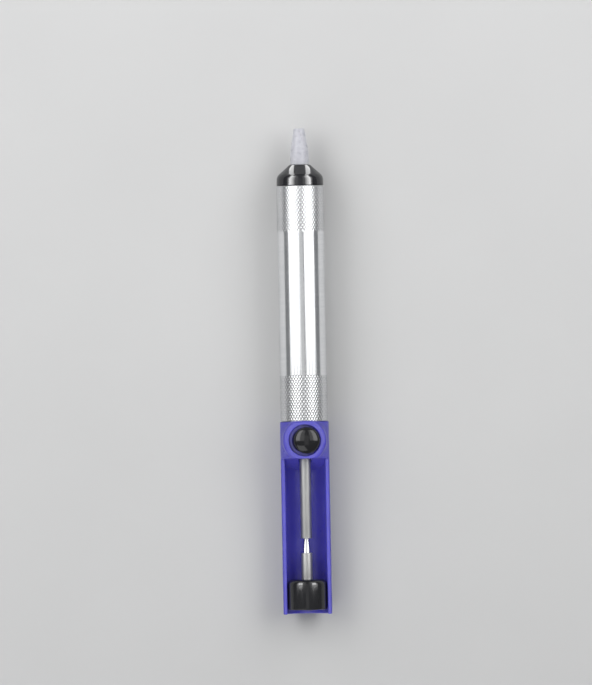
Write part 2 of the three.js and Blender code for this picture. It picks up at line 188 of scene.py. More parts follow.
def add_rows(outline, radius, stations):
    """The outline with more points at these stations on its straight run at this radius."""
    denser = []
    for (s0, r0), (s1, r1) in zip(outline, outline[1:] + outline[:1]):
        denser.append((s0, r0))
        if max(abs(r0 - radius), abs(r1 - radius)) < 1e-6:
            inside = [s for s in stations if min(s0, s1) + 1e-4 < s < max(s0, s1) - 1e-4]
            denser += [(s, radius) for s in sorted(inside, reverse=bool(s1 < s0))]
    return denser


def lathe(outline, segments=96, relief=None):
    """Points and triangles of a closed outline turned round the axis.

    relief(angle, station, radius) gives a point's new radius, for threads and knurls.
    """
    station, radius = np.array(outline, float).T
    following = np.roll(radius, -1)
    if np.sum(station * following - np.roll(station, -1) * radius) > 0:
        station, radius = station[::-1], radius[::-1]
    count = len(station)
    angle = np.arange(segments) * 2 * math.pi / segments
    s, a = np.meshgrid(station, angle, indexing="ij")
    r = np.repeat(radius[:, None], segments, axis=1)
    if relief is not None:
        r = relief(a, s, r)
    points = np.stack([r * np.cos(a), -s, r * np.sin(a)], axis=-1).reshape(-1, 3)
    ring = np.arange(count)[:, None] * segments
    step = np.arange(segments)[None, :]
    next_ring = np.roll(ring, -1, axis=0)
    next_step = np.roll(step, -1, axis=1)
    corners = np.stack([ring + step, ring + next_step, next_ring + next_step, next_ring + step], axis=-1)
    corners = corners.reshape(-1, 4)
    flat = r.reshape(-1)[corners]
    # A quad is split along its flatter diagonal, so that grooves run along edges.
    along = np.abs(flat[:, 0] - flat[:, 2]) <= np.abs(flat[:, 1] - flat[:, 3])
    first = np.where(along[:, None], corners[:, [0, 1, 2]], corners[:, [0, 1, 3]])
    second = np.where(along[:, None], corners[:, [0, 2, 3]], corners[:, [1, 2, 3]])
    triangles = np.concatenate([first, second])
    # Each ring of points on the axis becomes one point, and its empty triangles go.
    on_axis = radius < 1e-9
    hub = np.where(on_axis.repeat(segments), (np.arange(count * segments) // segments) * segments,
                   np.arange(count * segments))
    triangles = hub[triangles]
    real = (triangles[:, 0] != triangles[:, 1]) & (triangles[:, 1] != triangles[:, 2])
    real &= triangles[:, 0] != triangles[:, 2]
    used, triangles = np.unique(triangles[real], return_inverse=True)
    return points[used], triangles.reshape(-1, 3)


def coil(radius, wire, length, turns, steps=56, sides=14):
    """Points and faces of a spring with closed ends ground flat, standing on the origin along its axis."""
    closed_pitch = wire * 1.08  # the end turns all but touch
    ground = wire * 0.3  # what is ground off each end
    open_pitch = (length + 2 * ground - wire - 2 * closed_pitch) / (turns - 2)
    turn = np.linspace(0, turns, turns * steps + 1)
    open_turns = np.clip(turn - 1, 0, turns - 2)
    rise = wire / 2 - ground + (turn - open_turns) * closed_pitch + open_turns * open_pitch
    angle = 2 * math.pi * turn
    outward = np.stack([np.cos(angle), np.zeros_like(angle), np.sin(angle)], axis=-1)
    line = outward * radius + np.stack([0 * rise, rise, 0 * rise], axis=-1)
    tangent = np.gradient(line, axis=0)
    tangent /= np.linalg.norm(tangent, axis=1)[:, None]
    across = np.cross(tangent, outward)
    around = np.arange(sides) * 2 * math.pi / sides
    points = (line[:, None]
              + wire / 2 * np.cos(around)[None, :, None] * outward[:, None]
              + wire / 2 * np.sin(around)[None, :, None] * across[:, None])
    points = points.reshape(-1, 3)
    points[:, 1] = np.clip(points[:, 1], 0, length)
    faces = []
    for row in range(len(line) - 1):
        for side in range(sides):
            beside = (side + 1) % sides
            start = row * sides
            faces.append((start + side, start + beside, start + sides + beside, start + sides + side))
    faces.append(tuple(reversed(range(sides))))
    faces.append(tuple(range((len(line) - 1) * sides, len(line) * sides)))
    return points, [face[::-1] for face in faces]


# ---------------------------------------------------------------- shapes by distance
# A shape is a function distance(x, station, height), below 0 inside it.

def joined(a, b, fillet=0.0):
    """Both shapes, with a fillet where they meet."""
    corner = np.hypot(np.maximum(fillet - a, 0), np.maximum(fillet - b, 0))
    return np.maximum(fillet, np.minimum(a, b)) - corner


def shared(a, b, edge=0.0):
    """What both shapes hold, with its edge rounded."""
    corner = np.hypot(np.maximum(edge + a, 0), np.maximum(edge + b, 0))
    return np.minimum(-edge, np.maximum(a, b)) + corner


def cut(a, b, edge=0.0):
    """The first shape without the second."""
    return shared(a, -b, edge)


def between(value, low, high):
    return np.maximum(low - value, value - high)


def surface(distance, low, high, cell):
    """Points, quads and normals of the surface where distance is 0, with a point in each cell it crosses.

    low and high are the shape's corners as (x, station, height).
    """
    low, high = (low[0], -high[1], low[2]), (high[0], -low[1], high[2])
    # The grid goes past the shape on every side.
    ticks = [np.arange(a - 1.6 * cell, b + 2.6 * cell, cell) for a, b in zip(low, high)]

    def value_at(points):
        return distance(points[..., 0], -points[..., 1], points[..., 2])

    grid = np.stack(np.meshgrid(*ticks, indexing="ij"), axis=-1)
    value = value_at(grid)
    cells = np.array(value.shape) - 1
    total = np.zeros((*cells, 3))
    crossings = np.zeros(cells)
    for axis in range(3):
        for corner in range(4):
            start = [0, 0, 0]
            start[(axis + 1) % 3] = corner & 1
            start[(axis + 2) % 3] = corner >> 1
            near = tuple(slice(o, o + n) for o, n in zip(start, cells))
            start[axis] = 1
            far = tuple(slice(o, o + n) for o, n in zip(start, cells))
            crossed = (value[near] < 0) != (value[far] < 0)
            share = np.where(crossed, value[near] / np.where(crossed, value[near] - value[far], 1), 0)
            crossing = grid[near] + share[..., None] * (grid[far] - grid[near])
            total += np.where(crossed[..., None], crossing, 0)
            crossings += crossed
    active = crossings > 0
    index = np.full(active.shape, -1)
    index[active] = np.arange(active.sum())
    points = total[active] / crossings[active][:, None]

    # Each grid edge that the surface crosses gives a quad of the points in the four cells round it.
    quads = []
    for axis in range(3):
        near = [slice(1, -1)] * 3
        far = [slice(1, -1)] * 3
        near[axis] = slice(0, -1)
        far[axis] = slice(1, None)
        inside, beyond = value[tuple(near)] < 0, value[tuple(far)] < 0
        node = np.argwhere(inside != beyond)
        forward = inside[inside != beyond]
        for other in range(3):
            if other != axis:
                node[:, other] += 1
        u, v = np.eye(3, dtype=int)[[(axis + 1) % 3, (axis + 2) % 3]]
        quad = np.stack([index[tuple((node - back).T)] for back in (u + v, v, 0 * u, u)], axis=-1)
        quads.append(np.where(forward[:, None], quad, quad[:, ::-1]))

    def gradient_at(points):
        reach = 0.02 * cell
        steps = np.eye(3) * reach
        rise = [value_at(points + step) - value_at(points - step) for step in steps]
        return np.stack(rise, axis=-1) / (2 * reach)

    # A few steps down the gradient bring each point onto the surface.
    for _ in range(5):
        gradient = gradient_at(points)
        move = value_at(points)[:, None] * gradient / np.maximum((gradient ** 2).sum(1), 0.1)[:, None]
        points = points - np.clip(move, -cell / 2, cell / 2)
    normals = gradient_at(points)
    normals /= np.maximum(np.linalg.norm(normals, axis=1), 1e-6)[:, None]
    return points, np.concatenate(quads), normals


# ---------------------------------------------------------------- finishes

class Finish:
    """A procedural material. Values that are the same all over sit on the shader's own sockets."""

    def __init__(self, name, **uniform):
        self.material = bpy.data.materials.new(name)
        self.material.use_nodes = True
        self.nodes = self.material.node_tree.nodes
        self.shader = self.nodes["Principled BSDF"]
        for socket, value in uniform.items():
            self.shader.inputs[socket.replace("_", " ")].default_value = value
        self.place = self.nodes.new("ShaderNodeTexCoord").outputs["Object"]

    def node(self, kind, inputs, **settings):
        """A new node with its settings and its inputs, which are values or other nodes' outputs."""
        node = self.nodes.new("ShaderNode" + kind)
        for key, value in settings.items():
            setattr(node, key, value)
        for key, value in inputs.items():
            self.feed(value, node.inputs[key])
        return node

    def feed(self, value, socket):
        if isinstance(value, bpy.types.NodeSocket):
            self.material.node_tree.links.new(value, socket)
        else:
            socket.default_value = value

    def noise(self, size, detail=2.0, stretch=(1, 1, 1)):
        """Noise from 0 to 1 whose blobs are size millimetres, stretched along each axis."""
        scale = [1 / (MM * size * share) for share in stretch]
        moved = self.node("Mapping", {"Vector": self.place, "Scale": scale})
        noise = self.node("TexNoise", {"Vector": moved.outputs[0], "Scale": 1.0, "Detail": detail})
        return noise.outputs["Fac"]

    def distance_from_axis(self):
        flattened = self.node("Mapping", {
            "Vector": self.place, "Location": (0, 0, -AXIS_HEIGHT), "Scale": (1, 0, 1)})
        return self.node("VectorMath", {0: flattened.outputs[0]}, operation="LENGTH").outputs["Value"]

    def ranged(self, value, from_low, from_high, low, high):
        names = ("Value", "From Min", "From Max", "To Min", "To Max")
        values = (value, from_low, from_high, low, high)
        return self.node("MapRange", dict(zip(names, values))).outputs[0]

    def mixed(self, share, first, second):
        """A colour between two linear colours."""
        mix = self.nodes.new("ShaderNodeMix")
        mix.data_type = "RGBA"
        # The node also has number and vector sockets of the same names, so its colours go by place.
        factor, a, b = mix.inputs["Factor"], mix.inputs[6], mix.inputs[7]
        self.feed(share, factor)
        for colour, socket in ((first, a), (second, b)):
            self.feed(colour if isinstance(colour, bpy.types.NodeSocket) else (*colour, 1.0), socket)
        return mix.outputs[2]

    def bump(self, height, depth, strength=1.0, under=None):
        """A bump depth millimetres deep, on top of another bump."""
        inputs = {"Height": height, "Distance": depth * MM, "Strength": strength}
        if under is not None:
            inputs["Normal"] = under
        return self.node("Bump", inputs).outputs[0]

    def done(self, **varying):
        for socket, value in varying.items():
            self.feed(value, self.shader.inputs[socket.replace("_", " ")])
        return self.material


def turned_metal(name, dark, light, roughness, ring_size, ring_depth):
    """Metal with fine rings round the pump's axis from turning or polishing."""
    finish = Finish(name, Metallic=1.0)
    rings = finish.noise(ring_size, 3.0, stretch=(60, 1, 60))
    cloud = finish.noise(6.0, 3.0)
    tone = finish.ranged(rings, 0.3, 0.7, 0.0, 1.0)
    rough = finish.ranged(cloud, 0.3, 0.7, roughness * 0.85, roughness * 1.2)
    bump = finish.bump(rings, ring_depth)
    return finish.done(Base_Color=finish.mixed(tone, dark, light), Roughness=rough, Normal=bump)


def knurled_aluminium():
    """Polished aluminium: faint polishing rings, soft smudges, and rougher grooves in the knurl that are
    painted darker as shade.
    """
    finish = Finish("polished_aluminium", Metallic=1.0)
    _, _, radius = span("barrel")
    root = (radius - KNURL_DEPTH) * MM
    near_crest = (radius - 0.25 * KNURL_DEPTH) * MM
    groove = finish.ranged(finish.distance_from_axis(), root, near_crest, 1.0, 0.0)
    rings = finish.noise(0.35, 2.0, stretch=(50, 1, 50))
    smudge = finish.noise(7.0, 4.0, stretch=(1, 2.5, 1))
    polish = finish.ranged(smudge, 0.35, 0.75, 0.13, 0.21)
    rough = finish.node("Math", {0: polish, 1: finish.ranged(groove, 0, 1, 0, 0.16)}, operation="ADD")
    crest_tone = finish.mixed(finish.ranged(rings, 0.3, 0.7, 0, 1), (0.80, 0.81, 0.83), (0.90, 0.905, 0.915))
    # The knurl's grooves are painted darker: painted shade in the creases.
    colour = finish.mixed(groove, crest_tone, (0.30, 0.30, 0.31))
    bump = finish.bump(rings, 0.004, 0.5)
    return finish.done(Base_Color=colour, Roughness=rough.outputs[0], Normal=bump)


def moulded_gloss(name, dark, light, roughness, depth=0.0):
    """Glossy moulded plastic: slight waviness, very fine grain, and wiped dust in its roughness.

    Light goes in and out again over the depth, in millimetres, and comes out bluer.
    """
    finish = Finish(name, IOR=1.5)
    if depth:
        finish.shader.inputs["Subsurface Weight"].default_value = 0.7
        finish.shader.inputs["Subsurface Scale"].default_value = depth * MM
        finish.shader.inputs["Subsurface Radius"].default_value = (0.2, 0.2, 1.0)
    flow = finish.noise(14.0, 3.0)
    wipe = finish.noise(2.5, 5.0, stretch=(1, 4, 1))
    wave = finish.noise(3.0, 1.0)
    grain = finish.noise(0.12, 2.0)
    rough = finish.ranged(wipe, 0.3, 0.75, roughness * 0.75, roughness * 1.35)
    bump = finish.bump(grain, 0.003, 0.5, under=finish.bump(wave, 0.03))
    colour = finish.mixed(finish.ranged(flow, 0.3, 0.7, 0, 1), dark, light)
    return finish.done(Base_Color=colour, Roughness=rough, Normal=bump)


def waxy_plastic(name, dark, light, roughness, depth):
    """White plastic that lets light in: cloudy, with faint cutting rings."""
    finish = Finish(name, IOR=1.38, Subsurface_Weight=0.5, Subsurface_Scale=depth * MM)
    finish.shader.inputs["Subsurface Radius"].default_value = (1.0, 0.95, 0.9)
    cloud = finish.noise(1.6, 4.0)
    rings = finish.noise(0.25, 2.0, stretch=(40, 1, 40))
    rough = finish.ranged(cloud, 0.3, 0.7, roughness * 0.85, roughness * 1.2)
    bump = finish.bump(rings, 0.012, 0.6, under=finish.bump(cloud, 0.04, 0.5))
    colour = finish.mixed(finish.ranged(cloud, 0.3, 0.7, 0, 1), dark, light)
    return finish.done(Base_Color=colour, Roughness=rough, Normal=bump)


def satin_steel():
    """A rod turned, then rubbed dull along its length by its bush; its groove and threads are smoother and
    painted brighter as a highlight.
    """
    finish = Finish("satin_steel", Metallic=1.0)
    rings = finish.noise(0.3, 3.0, stretch=(60, 1, 60))
    rubbing = finish.noise(0.25, 3.0, stretch=(1, 60, 1))
    cloud = finish.noise(5.0, 3.0)
    tone = finish.ranged(rubbing, 0.3, 0.7, 0.0, 1.0)
    worn = finish.mixed(tone, (0.38, 0.38, 0.375), (0.50, 0.50, 0.49))
    # The latch groove and the threads lie well inside the rod's own radius. There the rod is painted
    # brighter, a painted highlight, and made smoother.
    cut_highlight_and_smoothness = finish.ranged(finish.distance_from_axis(), 1.85 * MM, 2.1 * MM, 1.0, 0.0)
    colour = finish.mixed(cut_highlight_and_smoothness, worn, (0.74, 0.74, 0.74))
    dull = finish.ranged(cloud, 0.3, 0.7, 0.44, 0.54)
    rough = finish.node("Math", {0: dull, 1: finish.ranged(cut_highlight_and_smoothness, 0, 1, 0, 0.26)}, operation="SUBTRACT")
    bump = finish.bump(rings, 0.003, under=finish.bump(rubbing, 0.002))
    return finish.done(Base_Color=colour, Roughness=rough.outputs[0], Normal=bump)


def nitrile():
    """Matt black rubber with fine grain and a trace of dusty bloom."""
    finish = Finish("seal_rubber", IOR=1.52, Specular_IOR_Level=0.35)
    grain = finish.noise(0.08, 3.0)
    bloom = finish.noise(1.2, 4.0)
    dusty = finish.ranged(bloom, 0.45, 0.8, 0, 1)
    colour = finish.mixed(dusty, (0.012, 0.012, 0.013), (0.035, 0.035, 0.034))
    rough = finish.ranged(grain, 0.3, 0.7, 0.55, 0.75)
    return finish.done(Base_Color=colour, Roughness=rough, Normal=finish.bump(grain, 0.01))


def zinc_plate():
    """Bright zinc-plated steel: a mottled bluish passivation over fine rolling grain."""
    finish = Finish("bright_steel", Metallic=1.0)
    mottle = finish.noise(1.8, 4.0)
    grain = finish.noise(0.1, 3.0, stretch=(1, 1, 12))
    colour = finish.mixed(finish.ranged(mottle, 0.3, 0.7, 0, 1), (0.55, 0.56, 0.60), (0.70, 0.70, 0.69))
    rough = finish.ranged(grain, 0.3, 0.7, 0.2, 0.34)
    return finish.done(Base_Color=colour, Roughness=rough, Normal=finish.bump(grain, 0.004))


FINISHES = {
    "ptfe": waxy_plastic("ptfe", (0.45, 0.45, 0.495), (0.55, 0.55, 0.59), roughness=0.30, depth=0.6),
    "seal_rubber": nitrile(),
    "black_plastic": moulded_gloss(
        "black_plastic", (0.005, 0.005, 0.006), (0.009, 0.009, 0.010), roughness=0.12),
    "polished_aluminium": knurled_aluminium(),
    "bright_steel": zinc_plate(),
    "spring_steel": turned_metal(
        "spring_steel", (0.36, 0.36, 0.37), (0.50, 0.50, 0.51),
        roughness=0.3, ring_size=0.5, ring_depth=0.002),
    "brass": turned_metal(
        "brass", (0.60, 0.43, 0.18), (0.74, 0.56, 0.27),
        roughness=0.24, ring_size=0.15, ring_depth=0.003),
    "white_acetal": waxy_plastic(
        "white_acetal", (0.76, 0.75, 0.70), (0.84, 0.83, 0.79), roughness=0.38, depth=0.5),
    "satin_steel": satin_steel(),
    "blue_plastic": moulded_gloss(
        "blue_plastic", (0.052, 0.047, 0.32), (0.062, 0.056, 0.37), roughness=0.36, depth=1.5),
}


def turned_piece(node, outline, segments=96, relief=None):
    points, faces = lathe(outline, segments, relief)
    return new_piece(node, points, faces, FINISHES[SLOT_OF[node]])


def shaped_piece(node, distance, cell):
    """A piece from its distance function, in its CAD node's own box."""
    low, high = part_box(node)
    first, last, _ = span(node)
    bottom, top = heights(node)
    corners = (low.x / MM, first, bottom), (high.x / MM, last, top)
    points, faces, normals = surface(distance, *corners, cell)
    return new_piece(node, points, faces, FINISHES[SLOT_OF[node]], normals)


# ---------------------------------------------------------------- reliefs

def thread_form(angle, station, pitch):
    """A screw thread's depth at a point, from 0 on its flat crest to 1 on its flat root."""
    wave = np.abs(2 * np.mod(station / pitch - angle / (2 * math.pi), 1) - 1)
    return np.clip(1.5 * wave - 0.25, 0, 1)


def thread(start, end, major, pitch=THREAD_PITCH, depth=THREAD_DEPTH):
    """A screw thread on what is at the major radius between two stations, and its rows."""

    def relief(angle, station, radius):
        form = thread_form(angle, station, pitch)
        fade = np.clip((station - start) / pitch, 0, 1) * np.clip((end - station) / pitch, 0, 1)
        on_thread = (np.abs(radius - major) < 1e-6) & (station > start) & (station < end)
        return np.where(on_thread, radius - depth * form * fade, radius)

    return relief, np.arange(start, end, pitch / 12)


def knurl(start, end, radius_of_bar):
    """Diamond knurls at a bar's two ends, and their rows."""
    zones = ((start, start + KNURL_LENGTH), (end - KNURL_LENGTH, end))

    def relief(angle, station, radius):
        around = KNURL_STARTS * angle / (2 * math.pi)
        depth = np.zeros_like(radius)
        for first, last in zones:
            along = (station - first) / KNURL_PITCH
            strands = np.mod(around + along, 1), np.mod(around - along, 1)
            nearest = np.minimum(*[np.minimum(strand, 1 - strand) for strand in strands])
            inner = last if first == start else first
            fade = np.clip(np.abs(station - inner) / KNURL_RUN_OUT, 0, 1)
            inside = (station >= first - 1e-6) & (station <= last + 1e-6)
            groove = KNURL_DEPTH * np.clip(1 - nearest / KNURL_GROOVE, 0, 1) * fade
            depth = np.where(inside, groove, depth)
        return np.where(radius > radius_of_bar - 1e-6, radius - depth, radius)

    row = KNURL_PITCH / KNURL_SAMPLES
    rows = [station for first, last in zones for station in np.arange(first, last + row, row)]
    return relief, rows


# ---------------------------------------------------------------- nose

def make_nozzle():
    """A tapered tip whose neck pushes into the nose cap, with a groove for its O-ring."""
    start, end, radius = span("nozzle")
    shoulder = span("nose_cap")[0] - SEAM
    tip_radius = 2.15
    tip_bore = 1.2
    taper_end = 9.0
    widest = 11.0
    neck_radius = 3.0
    groove_start = 17.2
    groove_end = 18.8
    groove_radius = 2.1
    funnel_start = 19.0
    funnel_radius = 2.3
    turned_piece("nozzle", rounded([
        (start, tip_bore, 0.15),
        (start, tip_radius, 0.4),
        (taper_end, radius - 0.1, 8.0),
        (widest, radius, 2.0),
        (shoulder, radius, 0.15),
        (shoulder, neck_radius),
        (groove_start, neck_radius, 0.1),
        (groove_start, groove_radius, 0.15),
        (groove_end, groove_radius, 0.15),
        (groove_end, neck_radius, 0.1),
        (end, neck_radius, 0.3),
        (end, funnel_radius, 0.1),
        (funnel_start, tip_bore, 0.5),
    ]), segments=80)


def make_o_ring(node):
    """A round ring of round section, from its box."""
    start, end, radius = span(node)
    wire = (end - start) / 2
    around = np.linspace(0, 2 * math.pi, 24, endpoint=False)
    middle = (start + end) / 2
    outline = [(middle + wire * math.sin(a), radius - wire + wire * math.cos(a)) for a in around]
    turned_piece(node, outline, segments=120)


def make_nose_cap():
    """A cone on a short cylinder, then the O-ring's groove and the threaded spigot with its chamber."""
    start, end, radius = span("nose_cap")
    shoulder = span("barrel")[0] - SEAM
    socket_radius = 3.15
    socket_end = 22.2
    face_radius = 4.2
    cone_end = 19.2
    groove_radius = 7.05
    groove_end = shoulder + 1.8
    chamfer = 0.6
    chamber_radius = 6.3
    chamber_start = 26.4
    relief, rows = thread(groove_end + 0.2, end - 0.4, SPIGOT_RADIUS)
    outline = rounded([
        (start, socket_radius, 0.25),
        (start, face_radius, 0.35),
        (cone_end, radius - 0.12, 3.2),
        (shoulder, radius, 0.12),
        (shoulder, groove_radius, 0.2),
        (groove_end, groove_radius, 0.2),
        (groove_end, SPIGOT_RADIUS, 0.1),
        (end - chamfer, SPIGOT_RADIUS),
        (end, SPIGOT_RADIUS - chamfer, 0.1),
        (end, chamber_radius, 0.3),
        (chamber_start, chamber_radius, 0.4),
        (socket_end, socket_radius, 0.3),
    ], steps=7)
    turned_piece("nose_cap", add_rows(outline, SPIGOT_RADIUS, rows), segments=144, relief=relief)


# ---------------------------------------------------------------- barrel and springs

def make_barrel():
    """A tube, knurled at both ends."""
    start, end, radius = span("barrel")
    relief, rows = knurl(start, end, radius)
    outline = rounded([
        (start, BORE_RADIUS, 0.15),
        (start, radius, 0.3),
        (end, radius, 0.3),
        (end, BORE_RADIUS, 0.15),
    ], steps=4)
    turned_piece("barrel", add_rows(outline, radius, rows), KNURL_STARTS * KNURL_SAMPLES, relief)


def make_ring(node, inner, edge):
    """A washer, bumper or insert, from its box and its hole's radius."""
    start, end, radius = span(node)
    turned_piece(node, rounded([
        (start, inner, edge),
        (start, radius, edge),
        (end, radius, edge),
        (end, inner, edge),
    ], steps=4))


def make_main_spring():
    """The spring round the cleaning pin, between the piston and its seat."""
    start, end, radius = span("main_spring")
    wire = 1.2
    turns = 17
    points, faces = coil(radius - wire / 2, wire, end - start, turns)
    points[:, 1] -= end
    piece = new_piece("main_spring", points, faces, FINISHES["spring_steel"], sharp_angle=50)
    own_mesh(piece)


def make_button_spring():
    """The spring under the button."""
    low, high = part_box("button_spring")
    bottom, top = heights("button_spring")
    wire = 0.5
    turns = 5
    radius = (high.y - low.y) / 2 / MM - wire / 2
    points, faces = coil(radius, wire, top - bottom, turns)
    x, along, z = points.T
    points = np.stack([x + (low.x + high.x) / 2 / MM, -BUTTON_STATION - z, bottom + along], axis=-1)
    piece = new_piece("button_spring", points, faces, FINISHES["spring_steel"], sharp_angle=50)
    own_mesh(piece)


# ---------------------------------------------------------------- piston and plunger

def make_piston():
    """A turned piston with a groove for its O-ring and a recess in its back."""
    start, end, radius = span("piston")
    hole = ROD_THREAD_RADIUS + RUNNING_GAP
    groove_start = 100.8
    groove_end = 103.2
    groove_radius = 6.8
    recess = 5.0
    recess_start = end - 4.0
    turned_piece("piston", rounded([
        (start, hole, 0.1),
        (start, radius, 0.45),
        (groove_start, radius, 0.15),
        (groove_start, groove_radius, 0.25),
        (groove_end, groove_radius, 0.25),
        (groove_end, radius, 0.15),
        (end, radius, 0.45),
        (end, recess, 0.2),
        (recess_start, recess, 0.2),
        (recess_start, hole, 0.1),
    ]))


def make_cleaning_pin():
    """A thin pin with a narrower rounded point."""
    start, end, radius = span("cleaning_pin")
    point_radius = 0.45
    point_length = 1.2
    turned_piece("cleaning_pin", rounded([
        (start, 0.0),
        (start, point_radius, 0.3),
        (start + point_length, radius, 1.5),
        (end, radius, 0.1),
        (end, 0.0),
    ]), segments=40)


def make_piston_nut():
    """A hexagonal nut, chamfered at 30 degrees at its front, with holes for the pin and the rod's thread."""
    start, end, _ = span("piston_nut")
    half_width = 3.0
    pin_hole = 1.0
    thread_start = 92.5
    thread_hole = ROD_THREAD_RADIUS + SEAM

    def distance(x, station, height):
        out = np.hypot(x, height)
        shape = between(station, start, end)
        for third in range(3):
            angle = math.radians(30 + 60 * third)
            flat = np.abs(x * math.cos(angle) + height * math.sin(angle)) - half_width
            shape = shared(shape, flat, edge=0.12)
        cone = 0.866 * (out - half_width - 0.15) - 0.5 * (station - start)
        shape = shared(shape, cone, edge=0.1)
        shape = cut(shape, out - pin_hole, edge=0.1)
        return cut(shape, shared(out - thread_hole, thread_start - station), edge=0.08)

    shaped_piece("piston_nut", distance, cell=0.16)


def make_plunger_rod():
    """A rod with a fine thread at each end and a latch groove that is deeper at its front."""
    start, end, radius = span("plunger_rod")
    thread_end = 105.0
    rear_shoulder = 183.5
    front_groove_radius = 1.1
    rear_groove_radius = 1.7
    fine = {"major": ROD_THREAD_RADIUS, "pitch": 0.7, "depth": 0.2}
    front_relief, front_rows = thread(start + 0.3, thread_end - 0.3, **fine)
    rear_relief, rear_rows = thread(rear_shoulder + 0.3, end - 0.3, **fine)

    def relief(angle, station, out):
        return rear_relief(angle, station, front_relief(angle, station, out))

    outline = rounded([
        (start, 0.0),
        (start, ROD_THREAD_RADIUS, 0.25),
        (thread_end, ROD_THREAD_RADIUS),
        (thread_end, radius, 0.2),
        (GROOVE_START, radius, 0.12),
        (GROOVE_START, front_groove_radius, 0.12),
        (GROOVE_END, rear_groove_radius, 0.1),
        (GROOVE_END, radius, 0.15),
        (rear_shoulder, radius, 0.2),
        (rear_shoulder, ROD_THREAD_RADIUS),
        (end, ROD_THREAD_RADIUS, 0.25),
        (end, 0.0),
    ], steps=4)
    rows = [*front_rows, *rear_rows]
    turned_piece("plunger_rod", add_rows(outline, ROD_THREAD_RADIUS, rows), segments=64, relief=relief)


def make_knob():
    """A closed cap with a hole for the rod and a pocket for its brass insert."""
    start, end, radius = span("knob")
    hole = 2.4
    insert_start, insert_end, insert_radius = span("knob_insert")
    pocket = insert_radius + SEAM
    turned_piece("knob", rounded([
        (start, hole, 0.3),
        (start, radius, 2.0),
        (end, radius, 0.6),
        (end, 0.0),
        (insert_end + SEAM, 0.0),
        (insert_end + SEAM, pocket),
        (insert_start - SEAM, pocket),
        (insert_start - SEAM, hole),
    ], steps=8), segments=120)


# ---------------------------------------------------------------- handle

def make_handle():
    """One moulding: the threaded spigot, the collar with its boss and well, and the half-tube guard."""
    start, end, radius = span("handle")
    collar_start = span("barrel")[1] + SEAM
    latch_start, latch_end, latch_half = span("latch_plate")
    latch_bottom = heights("latch_plate")[0] - TRAVEL["button_press"] - 0.3
    flange_start, bush_end, flange_radius = span("rod_guide_bush")
    flange_end = flange_start + BUSH_FLANGE
    rod_hole = 2.6
    lean = math.hypot(1, BULKHEAD_SLOPE)

    def distance(x, station, height):
        out = np.hypot(x, height)
        from_button = np.hypot(x, station - BUTTON_STATION)
        depth = THREAD_DEPTH * thread_form(np.arctan2(height, x), station, THREAD_PITCH)
        depth = depth * np.clip((collar_start - 0.4 - station) / THREAD_PITCH, 0, 1)
        spigot = shared(out - SPIGOT_RADIUS + depth, between(station, start, collar_start + 1), edge=0.3)
        tube = shared(out - radius, between(station, collar_start, end), edge=0.35)
        boss = shared(from_button - BOSS_RADIUS, height - BOSS_TOP, edge=1.5)
        boss = shared(boss, between(station, collar_start, COLLAR_END + 0.5), edge=0.35)
        body = joined(tube, np.maximum(boss, -height), fillet=1.4)
        # The fillet beside the boss grows no wider than the collar.
        body = np.maximum(body, np.abs(x) - radius)

        leaning = (station - COLLAR_END - BULKHEAD_SLOPE * (GUARD_EDGE_HEIGHT - height)) / lean
        bulkhead = joined(station - COLLAR_END, leaning, fillet=0.6)
        wall = shared(TROUGH_RADIUS - out, height - GUARD_EDGE_HEIGHT, edge=0.45)
        body = shared(body, joined(bulkhead, wall, fillet=0.5), edge=0.4)

        well = np.maximum(from_button - WELL_RADIUS, WELL_SHELF - height)
        pocket = np.maximum(from_button - POCKET_RADIUS, POCKET_FLOOR - height)
        body = cut(body, np.minimum(well, pocket), edge=0.3)
        body = joined(body, spigot)
        body = cut(body, out - rod_hole, edge=0.15)
        bush_seat = np.maximum(out - BUSH_RADIUS - SEAM, station - bush_end - SEAM)
        flange_seat = np.maximum(out - flange_radius - RUNNING_GAP, station - flange_end - SEAM)
        body = cut(body, bush_seat, edge=0.1)
        body = cut(body, flange_seat, edge=0.1)
        slot = np.maximum(np.abs(x) - latch_half - LATCH_CLEARANCE,
                          between(station, latch_start - LATCH_CLEARANCE, latch_end + LATCH_CLEARANCE))
        slot = np.maximum(slot, between(height, latch_bottom, POCKET_FLOOR + 1))
        return cut(body, slot, edge=0.1)

    shaped_piece("handle", distance, cell=0.3)


def make_rod_guide_bush():
    """A flanged bush that the rod slides in."""
    start, end, radius = span("rod_guide_bush")
    flange_end = start + BUSH_FLANGE
    hole = 2.4
    turned_piece("rod_guide_bush", rounded([
        (start, hole, 0.3),
        (start, radius, 0.2),
        (flange_end, radius, 0.2),
        (flange_end, BUSH_RADIUS, 0.15),
        (end, BUSH_RADIUS, 0.3),
        (end, hole, 0.3),
    ], steps=4))


# ---------------------------------------------------------------- button and latch

